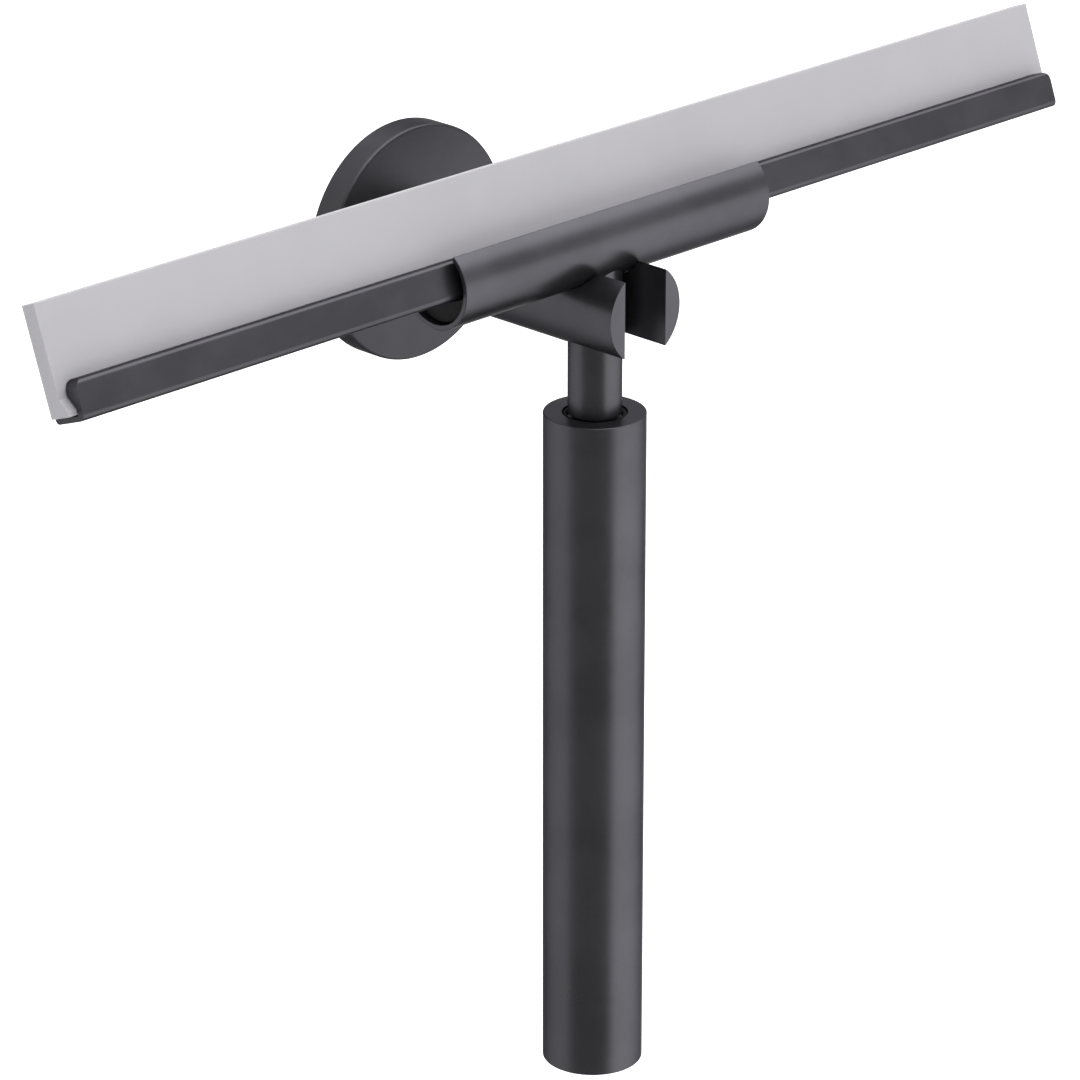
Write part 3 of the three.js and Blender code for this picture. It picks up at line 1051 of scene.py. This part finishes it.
    def blade(self) -> None:
        """The silicone strip, with a heel along its root."""
        length = Place.of("wiper_blade").size.x
        half, tip = self.blade_half, self.blade_height
        root = self.channel_wall + self.clearance - self.drop
        pen = SectionPen("silicone_strip", -length / 2, (-half, tip), self.tilt, self.channel_hub)
        for across, up in ((-half, self.heel_top), (-self.heel_reach, self.heel_shoulder),
                           (-self.heel_reach, root), (half, root), (half, tip)):
            pen.line(across, up)
        strip = pen.draw_out(length)
        Bench.ease_edges(strip, self.blade_edge)
        Bench.polish(strip)
        self.shop.deliver(strip, SILICONE, Body.BLADE, "wiper_blade")

    def grub_screws(self) -> None:
        """The two headless screws under the sleeve."""
        for side in ("left", "right"):
            node = f"channel_grub_{side}"
            screw = socket_screw(f"head_grub_{side}", Place.of(node), self.socket_width, self.socket_depth)
            self.shop.deliver(screw, STEEL, Body.SQUEEGEE, node)


@dataclass
class Grip:
    """The neck and the handle."""

    shop: FinishShop
    wall: float = 1.7 * MM
    top_wall: float = 6.0 * MM
    top_edge: float = 0.25 * MM
    neck_edge: float = 0.15 * MM
    cover_rim: float = 1.2 * MM
    cover_sink: float = 0.5 * MM
    cover_edge: float = 0.25 * MM
    seat_gap: float = 0.1 * MM
    ring_width: float = 1.0 * MM
    spigot_radius: float = 4.5 * MM
    tube: Place = field(default_factory=lambda: Place.of("handle_tube"))
    neck: Place = field(default_factory=lambda: Place.of("neck_rod"))
    sleeve: Place = field(default_factory=lambda: Place.of("head_sleeve"))

    def build(self) -> None:
        """Makes the grip's pieces that show."""
        self.neck_bar()
        self.ring()
        self.handle()
        self.end_cover()

    def neck_bar(self) -> None:
        """The neck, coped to the sleeve, with its spigot in the handle."""
        radius = self.neck.size.x / 2
        low = self.tube.high.z
        seat = self.sleeve.size.y / 2
        top = self.sleeve.low.z + seat / 2
        middle = Vector((0, self.neck.centre.y, (low + top) / 2))
        bar = Bench.round_bar("neck_bar", radius, middle, top - low, Axis.Z)
        Bench.sink(bar, lambda _, normal: normal.z < -FACING, radius - self.spigot_radius,
                   Vector((0, 0, self.neck.low.z - low)))
        axis = self.sleeve.tube_axis
        cope = Bench.round_bar("cope", seat + self.seat_gap / 2, axis, 4 * radius, Axis.X, sides=144)
        Bench.carve(bar, cope)
        Bench.ease_edges(bar, self.neck_edge, segments=2)
        Bench.polish(bar)
        self.shop.deliver(bar, COAT, Body.SQUEEGEE, "neck_rod")

    def ring(self) -> None:
        """The black ring round the neck's foot."""
        box = Place.of("neck_ring")
        inner = self.neck.size.x / 2 + self.seat_gap
        outer = inner + self.ring_width
        Bench.clear()
        bpy.ops.mesh.primitive_torus_add(major_segments=96, minor_segments=20, location=box.centre,
                                         major_radius=(outer + inner) / 2, minor_radius=(outer - inner) / 2)
        ring = Bench.named("neck_gasket")
        bpy.ops.object.mode_set(mode="EDIT")
        bpy.ops.mesh.select_all(action="SELECT")
        bpy.ops.transform.resize(value=(1, 1, box.size.z / (outer - inner)), center_override=box.centre)
        Bench.close()
        Bench.polish(ring)
        self.shop.deliver(ring, RUBBER, Body.SQUEEGEE, "neck_ring")

    def handle(self) -> None:
        """The grip: a bored bar with a recess in its top for the ring."""
        radius, length = self.tube.size.x / 2, self.tube.size.z
        seat = Place.of("neck_ring")
        recess = self.neck.size.x / 2 + self.ring_width + 1.5 * self.seat_gap
        grip = Bench.round_bar("handle_grip", radius, self.tube.centre, length, Axis.Z, sides=128)
        Bench.sink(grip, lambda _, normal: normal.z > FACING, radius - recess,
                   Vector((0, 0, seat.low.z - self.tube.high.z)))
        Bench.sink(grip, lambda _, normal: normal.z < -FACING, self.wall,
                   Vector((0, 0, length - self.top_wall)))
        Bench.ease_edges(grip, self.top_edge, segments=4)
        Bench.polish(grip)
        self.shop.deliver(grip, COAT, Body.SQUEEGEE, "handle_tube")

    def end_cover(self) -> None:
        """The disc that closes the handle's lower end."""
        box = Place.of("handle_end_cover")
        disc = Bench.round_bar("end_disc", box.size.x / 2, box.centre, box.size.z, Axis.Z)
        Bench.sink(disc, lambda _, normal: normal.z < -FACING, self.cover_rim,
                   Vector((0, 0, self.cover_sink)))
        Bench.ease_edges(disc, self.cover_edge)
        Bench.polish(disc)
        self.shop.deliver(disc, PLASTIC, Body.SQUEEGEE, "handle_end_cover")


@dataclass
class HiddenPieces:
    """The CAD nodes that stay as they are, inside the others."""

    shop: FinishShop
    finishes: dict[str, Finish] = field(default_factory=lambda: {
        "cover_ring": RUBBER, "head_screw": STEEL, "handle_bolt": STEEL, "bolt_washer": STEEL,
        "bolt_spring_washer": STEEL, "handle_plug": PLASTIC})

    def build(self) -> None:
        """Dresses each of them."""
        for node, finish in self.finishes.items():
            self.shop.dress(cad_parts[node], finish)
            LOG.info("%s: %s", node, finish.name)


# ---------------------------------------------------------------- floor, light and camera


@dataclass(frozen=True)
class LightCard:
    """A part of the studio that is lighter or darker than the rest.

    The card is a round patch of sky about a direction, kept between two heights (from -1 to 1).
    reach holds the angles from that direction, in degrees, at which it begins and is full.
    """

    towards: tuple[float, float, float]
    reach: tuple[float, float]
    heights: tuple[float, float]
    level: float
    softness: float = 0.06

    @staticmethod
    def step(tree: bpy.types.NodeTree, value: bpy.types.NodeSocket, low: float,
             high: float) -> bpy.types.NodeSocket:
        """Adds a soft step from 0 to 1 between two values; it falls when low is above high.

        Args:
            tree: The world's nodes.
            value: What is stepped.
            low: Where the step is 0.
            high: Where it is 1.

        Returns:
            The stepped value.
        """
        node = tree.nodes.new("ShaderNodeMapRange")
        node.interpolation_type = "SMOOTHSTEP"
        node.inputs["From Min"].default_value = min(low, high)
        node.inputs["From Max"].default_value = max(low, high)
        node.inputs["To Min"].default_value = float(low > high)
        node.inputs["To Max"].default_value = float(low <= high)
        tree.links.new(value, node.inputs["Value"])
        return node.outputs["Result"]

    def laid_over(self, tree: bpy.types.NodeTree, way: bpy.types.NodeSocket, height: bpy.types.NodeSocket,
                  under: bpy.types.NodeSocket | float) -> bpy.types.NodeSocket:
        """Lays the card over the light so far.

        Args:
            tree: The world's nodes.
            way: The direction looked in.
            height: That direction's height.
            under: The light so far.

        Returns:
            The light with the card in it.
        """
        dot = tree.nodes.new("ShaderNodeVectorMath")
        dot.operation = "DOT_PRODUCT"
        dot.inputs[1].default_value = Vector(self.towards).normalized()
        tree.links.new(way, dot.inputs[0])
        begins, full = (cos(radians(angle)) for angle in self.reach)
        low, high = self.heights
        mask = self.step(tree, dot.outputs["Value"], begins, full)
        for edge in (self.step(tree, height, low - self.softness, low + self.softness),
                     self.step(tree, height, high + self.softness, high - self.softness)):
            both = tree.nodes.new("ShaderNodeMath")
            both.operation = "MULTIPLY"
            tree.links.new(mask, both.inputs[0])
            tree.links.new(edge, both.inputs[1])
            mask = both.outputs[0]
        mix = tree.nodes.new("ShaderNodeMix")
        mix.inputs["B"].default_value = self.level
        tree.links.new(mask, mix.inputs["Factor"])
        if isinstance(under, bpy.types.NodeSocket):
            tree.links.new(under, mix.inputs["A"])
        else:
            mix.inputs["A"].default_value = under
        return mix.outputs["Result"]


@dataclass
class Studio:
    """A pale floor, soft light from all round and the camera."""

    camera_azimuth: float = radians(45.36)
    camera_elevation: float = radians(21.65)
    camera_distance: float = 1.0904
    camera_lens: float = 172.19
    aim_offset: tuple[float, float, float] = (-0.0154, -0.0216, 0.0214)
    floor_drop: float = 0.25
    floor_size: float = 30.0
    floor_shade: float = 0.9
    floor_roughness: float = 0.9
    floor_glow: float = 0.6
    sensor_width: float = 36.0
    view_reach: float = 100.0
    ambient: float = 0.7
    backdrop: float = 1.1
    cards: tuple[LightCard, ...] = (
        LightCard((-0.8, -0.6, 0.0), (60.0, 44.0), (-2.0, 2.0), 0.2),
        LightCard((0.9, -0.4, -0.1), (74.0, 60.0), (-2.0, 2.0), 1.32),
        LightCard((0.8, -0.5, 0.1), (80.0, 60.0), (0.05, 0.52), 0.52),
        LightCard((0.6, -0.3, 0.7), (70.0, 50.0), (0.56, 2.0), 2.1),
        LightCard((0.65, 0.65, 0.38), (38.0, 20.0), (-2.0, 2.0), 1.1),
        LightCard((0.0, 0.0, -1.0), (48.0, 38.0), (-2.0, 2.0), 0.4),
    )

    def build(self) -> None:
        """Makes the stage."""
        self.camera()
        self.floor()
        self.sky()
        bpy.context.scene.view_settings.view_transform = "Standard"

    def camera(self) -> None:
        """The camera stands in front, to the left of the object and above it."""
        aim = (CAD_BOX[0] + CAD_BOX[1]) / 2 + Vector(self.aim_offset)
        level = cos(self.camera_elevation)
        back = Vector((-sin(self.camera_azimuth) * level, -cos(self.camera_azimuth) * level,
                       sin(self.camera_elevation)))
        lens = bpy.data.cameras.new("camera")
        lens.lens = self.camera_lens
        lens.sensor_width = self.sensor_width
        lens.clip_end = self.view_reach
        camera = bpy.data.objects.new("camera", lens)
        camera.location = aim + back * self.camera_distance
        camera.rotation_euler = (-back).to_track_quat("-Z", "Y").to_euler()
        bpy.context.scene.collection.objects.link(camera)
        bpy.context.scene.camera = camera

    def floor(self) -> None:
        """A wide pale floor below the object, bright enough to show as white."""
        Bench.clear()
        height = CAD_BOX[0].z - self.floor_drop
        bpy.ops.mesh.primitive_plane_add(size=self.floor_size, location=(0, 0, height))
        floor = Bench.named("floor")
        paint = bpy.data.materials.new("floor_paint")
        paint.use_nodes = True
        tree = paint.node_tree
        shader = tree.nodes["Principled BSDF"]
        shader.inputs["Base Color"].default_value = (self.floor_shade, self.floor_shade, self.floor_shade, 1)
        shader.inputs["Roughness"].default_value = self.floor_roughness
        shader.inputs["Emission Color"].default_value = (1, 1, 1, 1)
        glow = tree.nodes.new("ShaderNodeMath")
        glow.operation = "MULTIPLY"
        glow.inputs[1].default_value = self.floor_glow
        seen = tree.nodes.new("ShaderNodeLightPath").outputs["Is Camera Ray"]
        tree.links.new(seen, glow.inputs[0])
        tree.links.new(glow.outputs[0], shader.inputs["Emission Strength"])
        floor.data.materials.append(paint)
        floor.visible_glossy = False

    def sky(self) -> None:
        """Soft light from all round, changed by cards in its quarters, over a white backdrop."""
        world = bpy.data.worlds.new("studio_light")
        bpy.context.scene.world = world
        world.use_nodes = True
        tree = world.node_tree
        background = tree.nodes["Background"]
        background.inputs["Color"].default_value = (1, 1, 1, 1)
        way = tree.nodes.new("ShaderNodeTexCoord").outputs["Generated"]
        split = tree.nodes.new("ShaderNodeSeparateXYZ")
        tree.links.new(way, split.inputs[0])
        level: bpy.types.NodeSocket | float = self.ambient
        for card in self.cards:
            level = card.laid_over(tree, way, split.outputs["Z"], level)
        backdrop = tree.nodes.new("ShaderNodeMix")
        backdrop.inputs["B"].default_value = self.backdrop
        seen = tree.nodes.new("ShaderNodeLightPath").outputs["Is Camera Ray"]
        tree.links.new(seen, backdrop.inputs["Factor"])
        tree.links.new(level, backdrop.inputs["A"])
        tree.links.new(backdrop.outputs["Result"], background.inputs["Strength"])


def main() -> None:
    """Builds the stage and the sub-assemblies in order."""
    logging.basicConfig(level=logging.INFO, format="%(name)s: %(message)s")
    Studio().build()
    shop = FinishShop()
    for assembly in (WallHolder(shop), Head(shop), Grip(shop), HiddenPieces(shop)):
        assembly.build()


if __name__ == "__main__":
    main()
